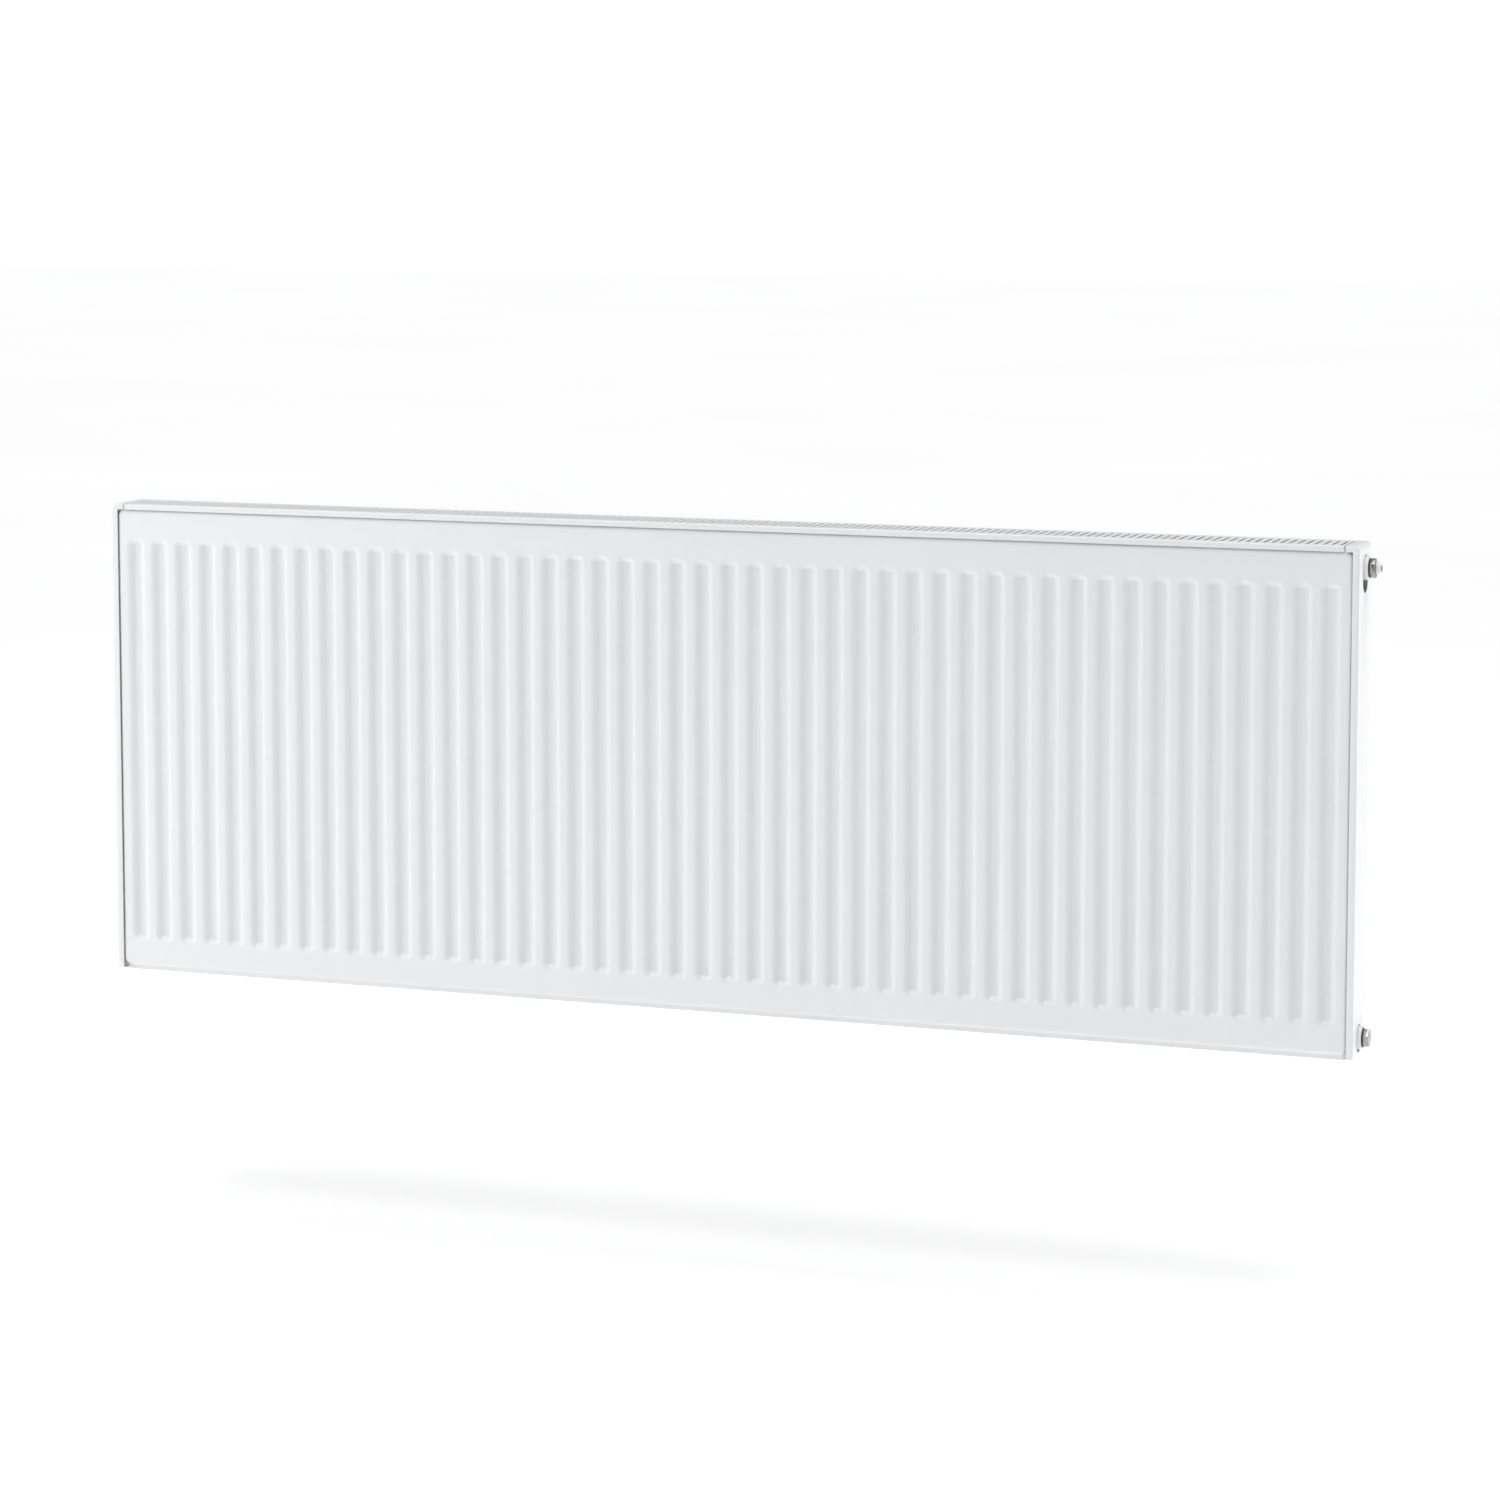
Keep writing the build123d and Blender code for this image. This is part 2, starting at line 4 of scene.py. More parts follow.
import bmesh
import bpy
import numpy as np
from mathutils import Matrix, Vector


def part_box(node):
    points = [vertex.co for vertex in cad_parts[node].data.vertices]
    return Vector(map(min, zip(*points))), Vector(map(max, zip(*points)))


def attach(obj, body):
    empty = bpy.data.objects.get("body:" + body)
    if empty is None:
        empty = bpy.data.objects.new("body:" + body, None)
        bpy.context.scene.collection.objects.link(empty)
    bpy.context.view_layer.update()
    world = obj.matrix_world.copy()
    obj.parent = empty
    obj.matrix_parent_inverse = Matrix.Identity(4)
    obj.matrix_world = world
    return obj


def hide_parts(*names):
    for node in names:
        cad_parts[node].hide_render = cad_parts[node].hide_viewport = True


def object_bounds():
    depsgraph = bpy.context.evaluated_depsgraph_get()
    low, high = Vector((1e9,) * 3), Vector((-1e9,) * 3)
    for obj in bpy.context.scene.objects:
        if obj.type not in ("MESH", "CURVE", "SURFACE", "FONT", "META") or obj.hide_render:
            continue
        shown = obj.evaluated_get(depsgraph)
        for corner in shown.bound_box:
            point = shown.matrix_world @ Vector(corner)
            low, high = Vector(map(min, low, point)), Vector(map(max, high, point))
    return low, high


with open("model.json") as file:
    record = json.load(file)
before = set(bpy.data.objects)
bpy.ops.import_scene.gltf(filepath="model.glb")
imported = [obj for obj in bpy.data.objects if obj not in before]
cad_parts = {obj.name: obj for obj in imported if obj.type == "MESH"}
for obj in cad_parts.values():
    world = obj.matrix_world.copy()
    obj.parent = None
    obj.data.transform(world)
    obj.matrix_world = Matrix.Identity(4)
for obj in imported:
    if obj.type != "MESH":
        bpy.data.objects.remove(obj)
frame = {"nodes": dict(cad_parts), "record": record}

cad_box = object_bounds()
scene = bpy.context.scene
nodes = frame["nodes"]

SHARP_ANGLE = 35.0       # degrees between faces that meet in an edge

# ---- node materials ------------------------------------------------------------------------------
# Lengths are metres. Every pattern is laid out in the object's own coordinates.


class Nodes:
    """A short way to add and join nodes in one material."""

    def __init__(self, name):
        self.material = bpy.data.materials.new(name)
        self.material.use_nodes = True
        self.tree = self.material.node_tree
        self.shader = self.tree.nodes["Principled BSDF"]
        self.coords = self.add("ShaderNodeTexCoord").outputs["Object"]

    def add(self, kind, **values):
        node = self.tree.nodes.new(kind)
        for key, value in values.items():
            setattr(node, key, value)
        return node

    def join(self, source, target):
        self.tree.links.new(source, target)

    def noise(self, scale, detail=2.0, roughness=0.5):
        node = self.add("ShaderNodeTexNoise")
        node.inputs["Scale"].default_value = scale
        node.inputs["Detail"].default_value = detail
        node.inputs["Roughness"].default_value = roughness
        self.join(self.coords, node.inputs["Vector"])
        return node.outputs["Fac"]

    def ramp(self, source, stops):
        node = self.add("ShaderNodeValToRGB")
        elements = node.color_ramp.elements
        while len(elements) < len(stops):
            elements.new(0.5)
        for element, (place, colour) in zip(elements, stops):
            element.position = place
            element.color = (*colour, 1.0)
        self.join(source, node.inputs["Fac"])
        return node.outputs["Color"]

    def span(self, source, low, high):
        node = self.add("ShaderNodeMapRange")
        node.inputs["To Min"].default_value = low
        node.inputs["To Max"].default_value = high
        self.join(source, node.inputs["Value"])
        return node.outputs["Result"]

    def bump(self, layers):
        """Stack (height, strength, depth) layers into the shader's normal."""
        normal = None
        for height, strength, depth in layers:
            node = self.add("ShaderNodeBump")
            node.inputs["Strength"].default_value = strength
            node.inputs["Distance"].default_value = depth
            self.join(height, node.inputs["Height"])
            if normal is not None:
                self.join(normal, node.inputs["Normal"])
            normal = node.outputs["Normal"]
        self.join(normal, self.shader.inputs["Normal"])

    def set(self, **values):
        for key, value in values.items():
            self.shader.inputs[key.replace("_", " ")].default_value = value


def shade(base, factor):
    return tuple(channel * factor for channel in base)


def powder_coat():
    """Satin white powder coat: a faint orange peel, and a slight unevenness of tone and gloss."""
    coat = Nodes("white_powder_coat")
    white = (0.835, 0.84, 0.85)
    tone = coat.noise(3.0, 3.0)
    coat.join(coat.ramp(tone, [(0.3, shade(white, 0.985)), (0.7, white)]), coat.shader.inputs["Base Color"])
    coat.join(coat.span(coat.noise(45.0, 3.0), 0.31, 0.40), coat.shader.inputs["Roughness"])
    coat.bump([(coat.noise(420.0, 2.0), 0.12, 0.00012), (coat.noise(1500.0, 1.0), 0.06, 0.00004)])
    coat.set(IOR=1.5, Specular_IOR_Level=0.45)
    return coat.material


def moulded_white():
    """Matt white nylon with a fine spark-eroded texture."""
    plastic = Nodes("white_nylon")
    white = (0.80, 0.80, 0.785)
    plastic.join(plastic.ramp(plastic.noise(180.0, 3.0), [(0.3, shade(white, 0.97)), (0.7, white)]),
                 plastic.shader.inputs["Base Color"])
    plastic.join(plastic.span(plastic.noise(900.0), 0.42, 0.56), plastic.shader.inputs["Roughness"])
    plastic.bump([(plastic.noise(2600.0, 2.0), 0.15, 0.00003)])
    plastic.set(Subsurface_Weight=0.08, Subsurface_Scale=0.001)
    return plastic.material


def nickel():
    """Nickel-plated brass: fine turning marks, faint warm patches and light handling marks."""
    metal = Nodes("nickel_plate")
    grey = (0.40, 0.375, 0.35)
    metal.join(metal.ramp(metal.noise(260.0, 4.0), [(0.25, shade(grey, 0.80)), (0.75, grey)]),
               metal.shader.inputs["Base Color"])
    metal.join(metal.span(metal.noise(700.0, 3.0), 0.16, 0.30), metal.shader.inputs["Roughness"])
    wave = metal.add("ShaderNodeTexWave", wave_type="RINGS", rings_direction="X")
    wave.inputs["Scale"].default_value = 900.0
    wave.inputs["Distortion"].default_value = 0.6
    metal.join(metal.coords, wave.inputs["Vector"])
    metal.bump([(wave.outputs["Fac"], 0.05, 0.00003)])
    metal.set(Metallic=1.0)
    return metal.material


def screw_steel():
    steel = Nodes("turned_steel")
    grey = (0.30, 0.29, 0.28)
    steel.join(steel.ramp(steel.noise(500.0, 4.0), [(0.25, shade(grey, 0.75)), (0.75, grey)]),
               steel.shader.inputs["Base Color"])
    steel.join(steel.span(steel.noise(1500.0, 2.0), 0.28, 0.42), steel.shader.inputs["Roughness"])
    steel.bump([(steel.noise(2500.0), 0.1, 0.00003)])
    steel.set(Metallic=1.0)
    return steel.material


def seal_rubber():
    rubber = Nodes("seal_rubber")
    black = (0.055, 0.052, 0.051)
    rubber.join(rubber.ramp(rubber.noise(600.0, 3.0), [(0.3, shade(black, 0.7)), (0.7, black)]),
                rubber.shader.inputs["Base Color"])
    rubber.join(rubber.span(rubber.noise(900.0), 0.5, 0.7), rubber.shader.inputs["Roughness"])
    rubber.bump([(rubber.noise(2200.0), 0.2, 0.00004)])
    return rubber.material


finishes = {
    "white_enamel": powder_coat(),
    "white_plastic": moulded_white(),
    "nickel_plate": nickel(),
    "screw_steel": screw_steel(),
    "black_rubber": seal_rubber(),
}
slot_of = {entry["node"]: entry["material_slot"] for entry in frame["record"]["subparts"]}
body_of = {node: body for body, members in frame["record"]["behaviour"]["bodies"].items()
           for node in members}

for name, thing in nodes.items():
    for slot in thing.material_slots:
        slot.material = finishes[slot_of[name]]


def add_piece(name, mesh, node):
    """Show a new mesh in place of a CAD node, in its finish and on its body."""
    mesh.shade_smooth()
    mesh.set_sharp_from_angle(angle=math.radians(SHARP_ANGLE))
    mesh.materials.clear()
    mesh.materials.append(finishes[slot_of[node]])
    piece = bpy.data.objects.new(name, mesh)
    scene.collection.objects.link(piece)
    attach(piece, body_of[node])
    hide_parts(node)
    return piece


class Shell:
    """Vertices and faces of one new mesh, gathered a grid at a time."""

    def __init__(self):
        self.verts, self.faces = [], []

    def grid(self, rows, wrap=False):
        """A surface through rows of points; a wrapped one closes each row on itself."""
        start, columns = len(self.verts), len(rows[0])
        self.verts += [tuple(point) for row in rows for point in row]
        for r in range(len(rows) - 1):
            for c in range(columns if wrap else columns - 1):
                a, b = start + r * columns + c, start + r * columns + (c + 1) % columns
                self.faces.append((a, b, b + columns, a + columns))

    def cap(self, loop):
        start = len(self.verts)
        self.verts += [tuple(point) for point in loop]
        self.faces.append(tuple(range(start, start + len(loop))))

    def turn(self, profile, centre, axis, steps=48):
        """A surface of revolution through (distance along the axis, radius) points.

        A radius may be a function of the angle.
        """
        axis = Vector(axis)
        across = axis.orthogonal().normalized()
        up = axis.cross(across)
        angles = [2 * math.pi * i / steps for i in range(steps)]
        self.grid([[Vector(centre) + axis * along
                    + (across * math.cos(t) + up * math.sin(t)) * (radius(t) if callable(radius) else radius)
                    for t in angles] for along, radius in profile], wrap=True)

    def mesh(self, name):
        """The mesh, with its doubled points merged and its faces turned outwards."""
        work = bmesh.new()
        verts = [work.verts.new(point) for point in self.verts]
        for face in self.faces:
            work.faces.new([verts[i] for i in face])
        return cleaned(work, name)


def cleaned(work, name):
    bmesh.ops.remove_doubles(work, verts=work.verts, dist=2e-6)
    bmesh.ops.dissolve_degenerate(work, edges=work.edges, dist=1e-7)
    bmesh.ops.recalc_face_normals(work, faces=work.faces)
    mesh = bpy.data.meshes.new(name)
    work.to_mesh(mesh)
    work.free()
    return mesh


def softened(node, width, segments=2):
    """A copy of a CAD node with its sharp edges rounded over."""
    work = bmesh.new()
    work.from_mesh(nodes[node].data)
    work.transform(nodes[node].matrix_world)
    bmesh.ops.remove_doubles(work, verts=work.verts, dist=2e-6)
    bmesh.ops.dissolve_limit(work, angle_limit=math.radians(1), verts=work.verts, edges=work.edges)
    edges = [edge for edge in work.edges
             if edge.is_manifold and edge.calc_face_angle() > math.radians(SHARP_ANGLE)]
    bmesh.ops.bevel(work, geom=edges, offset=width, segments=segments, profile=0.5, affect="EDGES",
                    clamp_overlap=True)
    return cleaned(work, "soft_" + node)


# ---- pressed sheets of the panels ----------------------------------------------------------------
# The surface is a depth behind the raised face, as a function of the place on the sheet.
FLUTES = 47
SHEET = 0.0012           # steel of the panels
PRESS_DEPTH = 0.0062     # raised face to the valleys' floors and to the rim
RAISED_INSET = (0.0035, 0.006, 0.0035)   # foot of the raised face from the rim: ends, bottom, top
FACE_EDGE_R = 0.0055
FACE_CORNER_R = 0.009
FOOT_R = 0.0010
VALLEY_WIDTH = 0.0206     # where the straight walls would meet the face
VALLEY_INSET = (0.0402, 0.0427)          # from the rim: bottom, top
VALLEY_CORNER_R = 0.0085
VALLEY_RUN = 0.0053
SHOULDER_R = 0.0075      # bend at the shoulder of a valley
FLOOR_R = 0.0013         # bend at its floor


def rounded_box_depth(x, z, half_x, half_z, radius):
    """How far inside a rounded rectangle a point is (negative outside)."""
    qx, qz = np.abs(x) - (half_x - radius), np.abs(z) - (half_z - radius)
    outside = np.hypot(np.maximum(qx, 0), np.maximum(qz, 0))
    return radius - outside - np.minimum(np.maximum(qx, qz), 0)


valley_angle = math.atan2(PRESS_DEPTH, VALLEY_RUN)
bend_run = math.tan(valley_angle / 2)       # of a bend of radius 1, before and after its corner
bend_reach = math.sin(valley_angle)         # sideways reach of its arc


def bend(distance, radius):
    """Height of an arc over the flat that it starts from, by the distance from its start."""
    reach = np.clip(distance, 0, radius * bend_reach)
    return radius - np.sqrt(radius ** 2 - reach ** 2)


def valley_profile(inside):
    """Depth of a valley from the distance inside its outline: bend, straight wall, bend, floor."""
    past_shoulder = inside + SHOULDER_R * bend_run
    to_floor = VALLEY_RUN + FLOOR_R * bend_run - inside
    depth = np.where(past_shoulder < SHOULDER_R * bend_reach, bend(past_shoulder, SHOULDER_R),
                     inside * PRESS_DEPTH / VALLEY_RUN)
    return np.where(to_floor < FLOOR_R * bend_reach, PRESS_DEPTH - bend(to_floor, FLOOR_R), depth)


def face_profile(inside):
    """Depth outside the raised face: the rim, a small foot bend, and the face's rounded edge."""
    reach = FACE_EDGE_R - np.clip(inside, 0, FACE_EDGE_R)
    rounded = FACE_EDGE_R - np.sqrt(np.maximum(FACE_EDGE_R ** 2 - reach ** 2, 0))
    foot = np.clip((FOOT_R - inside) / (2 * FOOT_R), 0, 1)
    blend = foot * foot * (3 - 2 * foot)
    return np.minimum(rounded, FACE_EDGE_R) * (1 - blend) + PRESS_DEPTH * blend


valley_samples = np.concatenate([
    -SHOULDER_R * bend_run + SHOULDER_R * bend_reach * np.linspace(0, 1, 6),
    VALLEY_RUN + FLOOR_R * bend_run - FLOOR_R * bend_reach * np.linspace(1, 0, 4),
])
edge_samples = np.concatenate([
    np.linspace(-FOOT_R, FOOT_R, 5),
    FACE_EDGE_R * (1 - np.cos(np.linspace(0.85, math.pi / 2, 7))),
])


def sheet_lines(low, high, insets, starts, ends):
    """Grid lines across a sheet: its rims, its rounded edges and both walls of each valley."""
    lines = [low, high, low + insets[0] * 0.5, high - insets[1] * 0.5]
    lines += list(low + insets[0] + edge_samples) + list(high - insets[1] - edge_samples)
    for start, end in zip(starts, ends):
        lines += list(start + valley_samples) + list(end - valley_samples) + [(start + end) / 2]
    lines = np.array(sorted(lines))
    return lines[np.concatenate([[True], np.diff(lines) > 1e-5])]


def pressed_sheet(node, facing):
    """Both surfaces of one pressed sheet; facing is -1 towards the room and +1 towards the wall."""
    low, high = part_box(node)
    face_y = low.y if facing < 0 else high.y
    pitch = (high.x - low.x + 2 * 0.004) / (FLUTES + 1)
    centres = (np.arange(FLUTES) - (FLUTES - 1) / 2) * pitch
    bottom, top = low.z + VALLEY_INSET[0], high.z - VALLEY_INSET[1]
    ends, below, above = RAISED_INSET

    xs = sheet_lines(low.x, high.x, (ends, ends), centres - VALLEY_WIDTH / 2, centres + VALLEY_WIDTH / 2)
    zs = sheet_lines(low.z, high.z, (below, above), [bottom], [top])
    corner = np.linspace(0.005, FACE_CORNER_R, 4)
    xs = np.unique(np.concatenate([xs, low.x + ends + corner, high.x - ends - corner]))
    zs = np.unique(np.concatenate([zs, low.z + below + corner, high.z - above - corner]))

    def depth(x, z):
        raised_middle = ((low.z + below) + (high.z - above)) / 2
        raised = rounded_box_depth(x, z - raised_middle, high.x - ends,
                                   (high.z - above) - raised_middle, FACE_CORNER_R)
        nearest = centres[np.clip(np.round(x / pitch + (FLUTES - 1) / 2).astype(int), 0, FLUTES - 1)]
        valley = rounded_box_depth(x - nearest, z - (bottom + top) / 2, VALLEY_WIDTH / 2,
                                   (top - bottom) / 2, VALLEY_CORNER_R)
        return np.maximum(face_profile(raised), valley_profile(valley))

    back_zs = np.unique(np.append(zs[::3], zs[-1]))
    verts, faces, first = [], [], []
    for lines, behind in ((zs, 0.0), (back_zs, SHEET)):
        gx, gz = np.meshgrid(xs, lines)
        y = face_y - facing * (depth(gx, gz) + behind)
        first.append(sum(len(v) for v in verts))
        verts.append(np.stack([gx, y, gz], axis=-1).reshape(-1, 3))
        columns, rows = len(xs), len(lines)
        corner_ids = first[-1] + (np.arange(rows - 1)[:, None] * columns + np.arange(columns - 1)[None]).ravel()
        quad = np.stack([corner_ids, corner_ids + 1, corner_ids + columns + 1, corner_ids + columns], axis=-1)
        outward = (facing < 0) == (behind == 0.0)
        faces += (quad if outward else quad[:, ::-1]).tolist()
    # The four cut edges close the sheet.
    columns = len(xs)
    front, back = first
    rows, back_rows = len(zs), len(back_zs)
    front_ring = ([front + i for i in range(columns)], [front + (rows - 1) * columns + i for i in range(columns)])
    back_ring = ([back + i for i in range(columns)], [back + (back_rows - 1) * columns + i for i in range(columns)])
    for k, flip in ((0, facing < 0), (1, facing > 0)):
        for i in range(columns - 1):
            quad = [front_ring[k][i], back_ring[k][i], back_ring[k][i + 1], front_ring[k][i + 1]]
            faces.append(quad if flip else quad[::-1])
    for column, flip in ((0, facing > 0), (columns - 1, facing < 0)):
        loop = [front + r * columns + column for r in range(rows)]
        loop += [back + r * columns + column for r in reversed(range(back_rows))]
        faces.append(loop if not flip else loop[::-1])

    mesh = bpy.data.meshes.new(node + "_mesh")
    mesh.from_pydata(np.concatenate(verts).tolist(), [], faces)
    mesh.validate()
    mesh.update()
    return add_piece("pressed_" + node, mesh, node)


pressed_sheet("front_panel_face_sheet", -1)
pressed_sheet("front_panel_back_sheet", 1)
pressed_sheet("rear_panel_front_sheet", -1)
pressed_sheet("rear_panel_wall_sheet", 1)

# ---- top grille ----------------------------------------------------------------------------------
COVER_SHEET = 0.001
SLOT_PITCH = 0.010
SLOTS = 156
SLOT_HALF_WIDTH = 0.0015
SLOT_HALF_LENGTH = 0.024
FIELD_HALF = 0.027       # half width of the slotted field
FOLD_R = 0.0018
PUNCH_R = 0.0006         # rolled rim of a punched slot


def slot_outline(grow, steps=6):
    """Points round a slot, from the middle of its low-X side."""
    radius = SLOT_HALF_WIDTH + grow
    straight = SLOT_HALF_LENGTH - SLOT_HALF_WIDTH
    arc = [math.pi * i / steps for i in range(steps + 1)]
    return ([(-radius * math.cos(t), straight + radius * math.sin(t)) for t in arc]
            + [(radius * math.cos(t), -straight - radius * math.sin(t)) for t in arc])


def field_outline(steps=6):
    """As many points round one slot's share of the field."""
    side = [(-SLOT_PITCH / 2, FIELD_HALF), *[(SLOT_PITCH * (i / steps - 0.5), FIELD_HALF) for i in range(1, steps)],
            (SLOT_PITCH / 2, FIELD_HALF)]
    return side + [(-x, -y) for x, y in side]


def grille():
    low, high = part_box("top_grille")
    middle, top = (low.y + high.y) / 2, high.z
    shell = Shell()
    outline = field_outline()
    rings = [(outline, 0), (slot_outline(PUNCH_R), 0), (slot_outline(PUNCH_R * 0.3), -PUNCH_R * 0.3),
             (slot_outline(0), -PUNCH_R), (slot_outline(0), -COVER_SHEET), (outline, -COVER_SHEET)]
    for i in range(SLOTS):
        x = (i - (SLOTS - 1) / 2) * SLOT_PITCH
        shell.grid([[(x + u, middle + v, top + drop) for u, v in ring] for ring, drop in rings], wrap=True)
    # Each long side: the flat, the fold and the lip, outside and inside.
    bends = [math.pi / 2 * i / 5 for i in range(6)]
    field_end = SLOTS * SLOT_PITCH / 2
    stations = [low.x, *[-field_end + i * SLOT_PITCH for i in range(SLOTS + 1)], high.x]
    for side, edge in ((-1, low.y), (1, high.y)):
        section = [(middle + side * FIELD_HALF, top)]
        section += [(edge - side * FOLD_R * (1 - math.sin(t)), top - FOLD_R * (1 - math.cos(t))) for t in bends]
        section += [(edge, low.z + 0.0002), (edge - side * 0.0002, low.z), (edge - side * (COVER_SHEET - 0.0002), low.z),
                    (edge - side * COVER_SHEET, low.z + 0.0002)]
        inner = FOLD_R - COVER_SHEET
        section += [(edge - side * (COVER_SHEET + inner * (1 - math.sin(t))),
                     top - COVER_SHEET - inner * (1 - math.cos(t))) for t in reversed(bends)]
        section += [(middle + side * FIELD_HALF, top - COVER_SHEET)]
        shell.grid([[(x, y, z) for y, z in section] for x in stations])
        for x in (low.x, high.x):
            shell.cap([(x, y, z) for y, z in section])
    # The plain strips past the last slots.
    for inner_x, outer_x in ((-field_end, low.x), (field_end, high.x)):
        for z in (top, top - COVER_SHEET):
            shell.cap([(inner_x, middle - FIELD_HALF, z), (inner_x, middle + FIELD_HALF, z),
                       (outer_x, middle + FIELD_HALF, z), (outer_x, middle - FIELD_HALF, z)])
        shell.cap([(outer_x, middle - FIELD_HALF, top), (outer_x, middle + FIELD_HALF, top),
                   (outer_x, middle + FIELD_HALF, top - COVER_SHEET), (outer_x, middle - FIELD_HALF, top - COVER_SHEET)])
    add_piece("punched_grille", shell.mesh("grille"), "top_grille")


grille()

# ---- convector -----------------------------------------------------------------------------------
CONVECTOR_SHEET = 0.0006
CREST_HALF = 0.004
FIN_RUN = 0.002
CONVECTOR_BEND = 0.0016  # length of each leg taken up by a bend


def convector():
    low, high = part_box("convector")
    ridges = FLUTES - 1
    pitch = (high.x - low.x - 2 * CREST_HALF) / (ridges - 1)
    crest, trough = low.y + CONVECTOR_SHEET / 2, high.y - CONVECTOR_SHEET / 2
    path = [(low.x, crest)]
    for i in range(ridges - 1):
        left = low.x + CREST_HALF + i * pitch
        path += [(left + CREST_HALF, crest), (left + CREST_HALF + FIN_RUN, trough),
                 (left + pitch - CREST_HALF - FIN_RUN, trough), (left + pitch - CREST_HALF, crest)]
    path.append((high.x, crest))
    path = np.array(path)
    points = [path[0]]
    for before, corner, after in zip(path, path[1:], path[2:]):
        start = corner + (before - corner) / np.linalg.norm(before - corner) * CONVECTOR_BEND
        end = corner + (after - corner) / np.linalg.norm(after - corner) * CONVECTOR_BEND
        points += [start * (1 - t) ** 2 + corner * 2 * t * (1 - t) + end * t ** 2 for t in (0, 0.2, 0.4, 0.6, 0.8, 1)]
    points = np.array(points + [path[-1]])
    along = np.gradient(points, axis=0)
    along /= np.linalg.norm(along, axis=1)[:, None]
    side = np.stack([-along[:, 1], along[:, 0]], axis=1) * CONVECTOR_SHEET / 2
    shell = Shell()
    loop = [*(points + side), *(points - side)[::-1]]
    shell.grid([[(x, y, z) for x, y in loop] for z in (low.z, high.z)], wrap=True)
    count = len(points)
    for z in (low.z, high.z):
        shell.grid([[(x, y, z) for x, y in loop[:count]], [(x, y, z) for x, y in loop[:count - 1:-1]]])
    add_piece("folded_convector", shell.mesh("convector"), "convector")


convector()

# ---- corner tees: threaded sockets and weld beads ------------------------------------------------
SOCKET_R = 0.014
SOCKET_CHAMFER = 0.0008
CROSS_R = 0.011
WATER_R = 0.008
THREAD_MINOR_R = 0.0093155
THREAD_DEPTH = 0.0011
THREAD_PITCH = 0.001814
THREAD_LENGTH = 0.016
COUNTERSINK = 0.001
BEAD_R = 0.0014


def thread_radius(depth, side):
    """The threaded bore's radius, as a function of the angle, at a depth in from the mouth."""
    fade = min(1.0, (THREAD_LENGTH - depth) / THREAD_PITCH, max(depth - COUNTERSINK, 0) / (THREAD_PITCH / 2))

    def radius(angle):
        turn = (depth / THREAD_PITCH + side * angle / (2 * math.pi)) % 1.0
        groove = min(1.0, max(0.0, 1.25 - 5.0 * abs(turn - 0.5) / 2))
        return THREAD_MINOR_R + THREAD_DEPTH * fade * groove * groove * (3 - 2 * groove)

    return radius


def bead_radius(along):
    return lambda angle: CROSS_R + BEAD_R * along * (1 + 0.10 * math.sin(19 * angle) + 0.06 * math.sin(7 * angle + 1))


def corner_tee(node, side):
    low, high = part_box(node)
    middle = (low + high) / 2
    length = high.x - low.x
    mouth = (high.x if side > 0 else low.x, middle.y, middle.z)
    shell = Shell()
    depths = [COUNTERSINK + i * THREAD_PITCH / 8 for i in range(int((THREAD_LENGTH - COUNTERSINK) / THREAD_PITCH * 8) + 1)]
    shell.turn([(length, 0), (length, SOCKET_R - SOCKET_CHAMFER), (length - SOCKET_CHAMFER, SOCKET_R),
                (SOCKET_CHAMFER, SOCKET_R), (SOCKET_CHAMFER / 4, SOCKET_R - SOCKET_CHAMFER / 4 * 3),
                (0, SOCKET_R - SOCKET_CHAMFER), (0, THREAD_MINOR_R + COUNTERSINK),
                (COUNTERSINK, THREAD_MINOR_R), *[(depth, thread_radius(depth, side)) for depth in depths],
                (THREAD_LENGTH, WATER_R), (length - 0.004, WATER_R), (length - 0.004, 0)],
               mouth, (-side, 0, 0), 64)
    shell.turn([(0, 0), (0, CROSS_R), (high.y - low.y, CROSS_R), (high.y - low.y, 0)],
               (high.x - CROSS_R if side < 0 else low.x + CROSS_R, low.y, middle.z), (0, 1, 0))
    arc = [math.pi / 2 * i / 4 for i in range(5)]
    for start, direction in ((low.y, 1), (high.y, -1)):
        shell.turn([(0, CROSS_R - 0.001)] + [(BEAD_R * 1.3 * math.sin(t), bead_radius(math.cos(t))) for t in arc],
                   (high.x - CROSS_R if side < 0 else low.x + CROSS_R, start, middle.z), (0, direction, 0), 96)
    add_piece("threaded_" + node, shell.mesh(node), node)


for level in ("lower", "upper"):
    corner_tee(level + "_left_tee", -1)
    corner_tee(level + "_right_tee", 1)

# ---- lugs with spot welds, and the pieces that only need their edges rounded ---------------------
LUG_FOOT_X = 0.0166667   # middle of a foot, from the middle of its lug
LUG_SHEET = 0.002
WELD_Z = 0.009
WELD_SPOT = [(0, 0.0034), (0.00018, 0.0031), (0.00026, 0.0026), (0.00018, 0.0020), (0.00004, 0.0014), (0.00004, 0)]

for end in ("left", "right"):
    for level in ("lower", "upper"):
        node = f"{level}_{end}_lug"
        low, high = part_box(node)
        middle = (low + high) / 2
        welds = Shell()
        for x in (-LUG_FOOT_X, LUG_FOOT_X):
            for z in (-WELD_Z, WELD_Z):
                welds.turn(WELD_SPOT, (middle.x + x, low.y + LUG_SHEET, middle.z + z), (0, 1, 0), 24)
        strap = bmesh.new()
        strap.from_mesh(softened(node, 0.0005, 3))
        strap.from_mesh(welds.mesh(node + "_welds"))
        add_piece("welded_" + node, cleaned(strap, node), node)

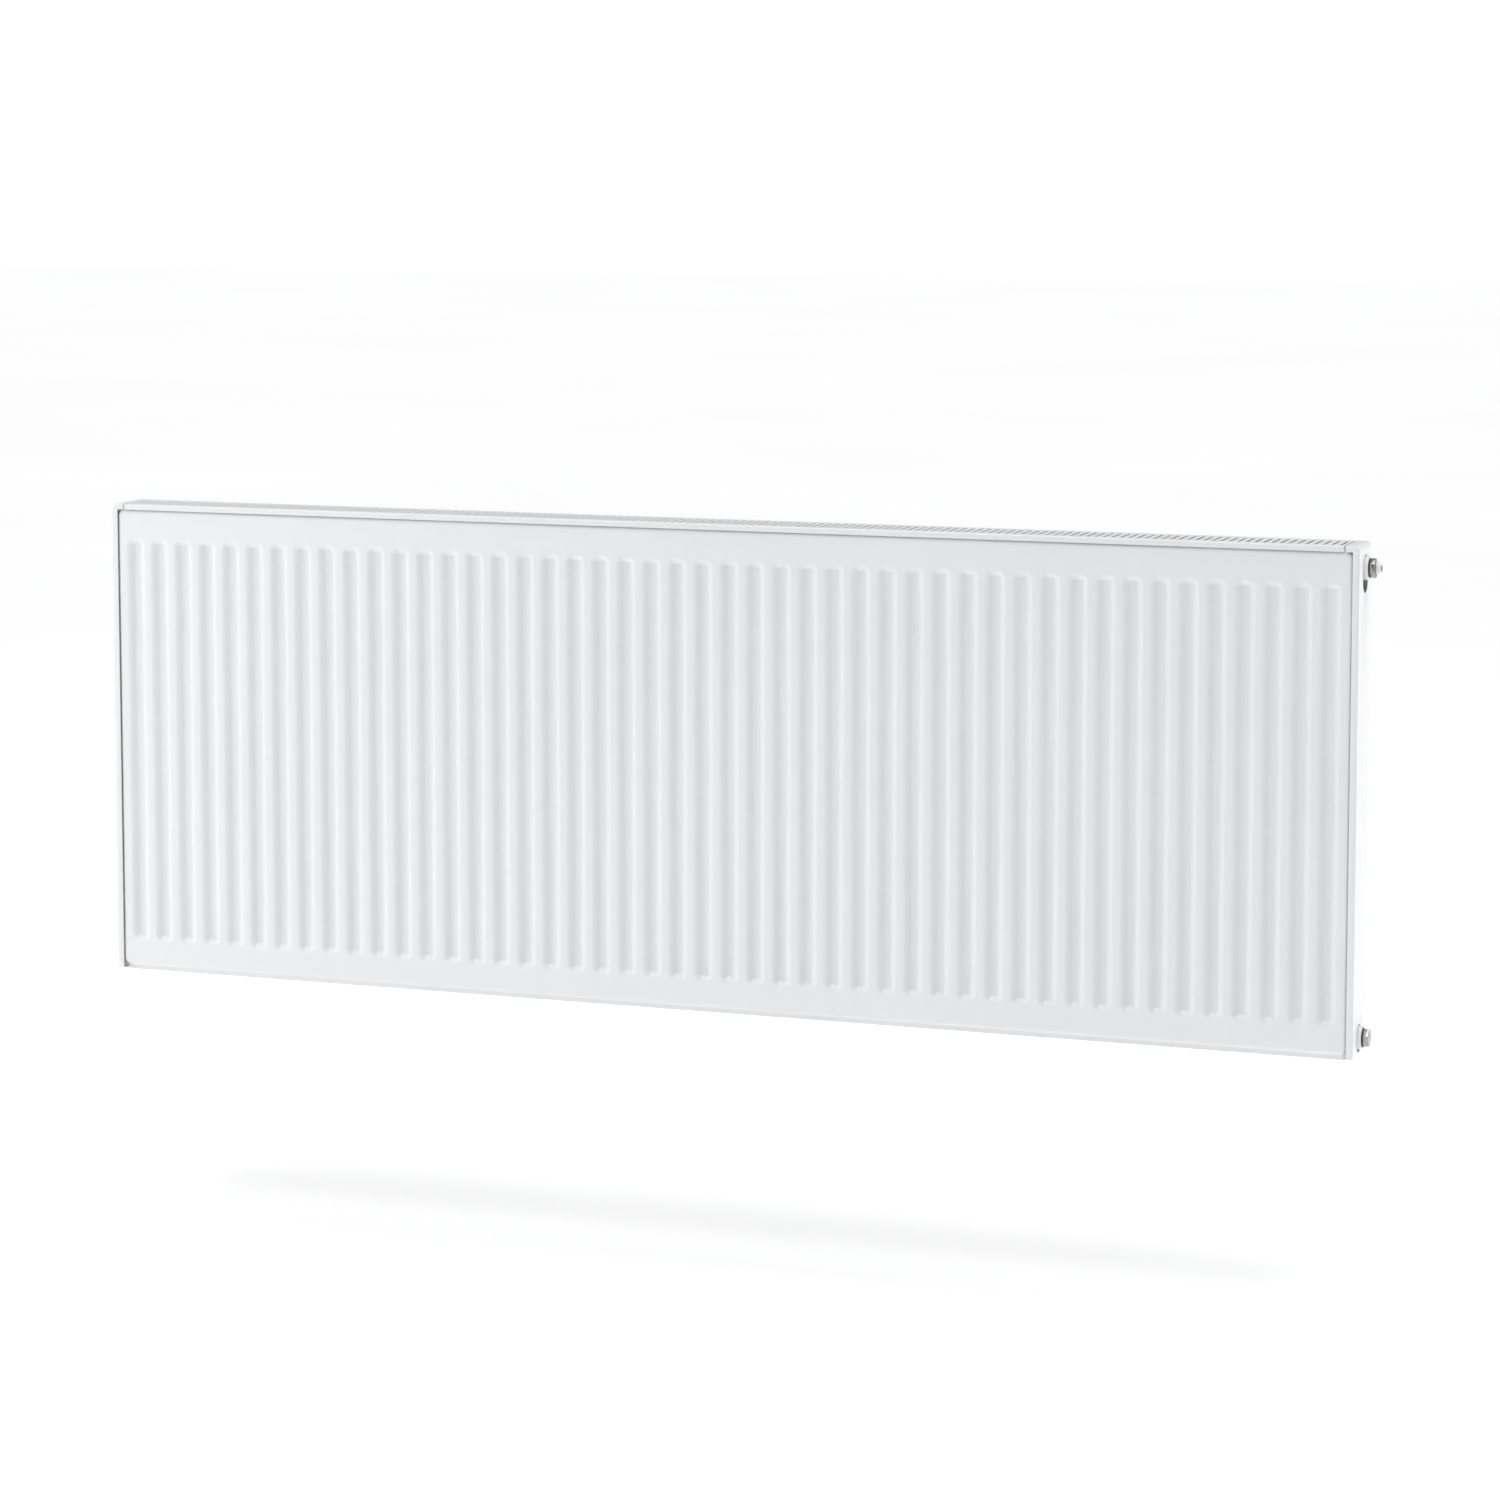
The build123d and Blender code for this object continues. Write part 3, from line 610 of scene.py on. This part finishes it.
for node, width in (("grille_clips", 0.0004), ("left_cover_clips", 0.0003), ("right_cover_clips", 0.0003),
                    ("left_side_cover", 0.0002), ("right_side_cover", 0.0002), ("blanking_plug", 0.0002),
                    ("vent_plug", 0.0002), ("vent_nozzle", 0.0003), ("bleed_screw", 0.0002)):
    add_piece("rounded_" + node, softened(node, width), node)

# ---- stage: floor, light and camera --------------------------------------------------------------
FLOOR_DROP = 0.30        # the radiator hangs this far above the floor

low, high = cad_box
FLOOR_Z = low.z - FLOOR_DROP
FLOOR_HALF = 30.0

floor_mesh = bpy.data.meshes.new("floor")
floor_mesh.from_pydata([(x * FLOOR_HALF, y * FLOOR_HALF, FLOOR_Z) for x, y in ((-1, -1), (1, -1), (1, 1), (-1, 1))],
                       [], [(0, 1, 2, 3)])
floor = bpy.data.objects.new("floor", floor_mesh)
scene.collection.objects.link(floor)
floor_paint = Nodes("floor_paint")
floor_paint.join(floor_paint.ramp(floor_paint.noise(0.7), [(0.3, (0.94, 0.94, 0.94)), (0.7, (0.96, 0.96, 0.96))]),
                 floor_paint.shader.inputs["Base Color"])
floor_paint.set(Roughness=0.9, Specular_IOR_Level=0.0, Emission_Color=(1.0, 1.0, 1.0, 1.0),
                Emission_Strength=0.08)
floor_mesh.materials.append(floor_paint.material)

world = bpy.data.worlds.new("studio")
scene.world = world
world.use_nodes = True
tree = world.node_tree
sky = tree.nodes["Background"]
sky.inputs["Color"].default_value = (0.985, 0.99, 1.0, 1.0)
SKY_LEFT, SKY_RIGHT = 0.35, 0.23         # sky strength towards -X and +X
across = tree.nodes.new("ShaderNodeSeparateXYZ")
tree.links.new(tree.nodes.new("ShaderNodeTexCoord").outputs["Generated"], across.inputs["Vector"])
fade = tree.nodes.new("ShaderNodeMapRange")
fade.inputs["From Min"].default_value = -1.0
fade.inputs["To Min"].default_value = SKY_LEFT
fade.inputs["To Max"].default_value = SKY_RIGHT
tree.links.new(across.outputs["X"], fade.inputs["Value"])
tree.links.new(fade.outputs["Result"], sky.inputs["Strength"])
backdrop = tree.nodes.new("ShaderNodeBackground")
backdrop.inputs["Color"].default_value = (1.0, 1.0, 1.0, 1.0)
backdrop.inputs["Strength"].default_value = 1.05
mix = tree.nodes.new("ShaderNodeMixShader")
path = tree.nodes.new("ShaderNodeLightPath")
tree.links.new(path.outputs["Is Camera Ray"], mix.inputs["Fac"])
tree.links.new(sky.outputs["Background"], mix.inputs[1])
tree.links.new(backdrop.outputs["Background"], mix.inputs[2])
tree.links.new(mix.outputs["Shader"], tree.nodes["World Output"].inputs["Surface"])


def aim(lamp, place, target):
    lamp.location = place
    lamp.rotation_mode = "QUATERNION"
    lamp.rotation_quaternion = (Vector(target) - Vector(place)).to_track_quat("-Z", "Y")
    scene.collection.objects.link(lamp)


def softbox(name, place, target, size, power):
    """A rectangular area light at a place, aimed at a point."""
    light = bpy.data.lights.new(name, "AREA")
    light.shape = "RECTANGLE"
    light.size, light.size_y = size
    light.energy = power
    aim(bpy.data.objects.new(name, light), place, target)


softbox("near_key", (-1.5, -1.3, 0.2), (-0.6, -0.08, 0), (1.0, 1.4), 2.4)
softbox("far_key", (-4.5, -1.5, 0.8), (0.2, -0.08, 0), (2.0, 2.0), 42)
softbox("front_top", (-1.4, -2.2, 2.4), (0, -0.08, 0), (3.0, 1.5), 12)
softbox("low_right", (1.7, -1.5, -0.25), (0.7, -0.08, -0.2), (0.8, 0.6), 0.7)
softbox("side_back", (2.6, 0.7, 0.4), (0.8, 0, 0), (1.2, 1.6), 19)
overhead = bpy.data.lights.new("overhead", "SUN")
overhead.energy = 2.1
overhead.angle = math.radians(50)
aim(bpy.data.objects.new("overhead", overhead), (0, -0.2, 3), (0, 0, 0))

# The camera stands to the right of the radiator and above it, and looks back along its length.
CAMERA = dict(x=1.6804, y=-4.7003, z=0.7836, turn=19.31, dip=5.63, lens=98.24, shift=-0.15)
camera_data = bpy.data.cameras.new("camera")
camera = bpy.data.objects.new("camera", camera_data)
scene.collection.objects.link(camera)
scene.camera = camera
camera_data.sensor_width = 36.0
camera_data.lens = CAMERA["lens"]
camera_data.shift_y = CAMERA["shift"]
camera.location = (CAMERA["x"], CAMERA["y"], CAMERA["z"])
camera.rotation_euler = (math.radians(90 - CAMERA["dip"]), 0, math.radians(CAMERA["turn"]))
scene.view_settings.view_transform = "Standard"
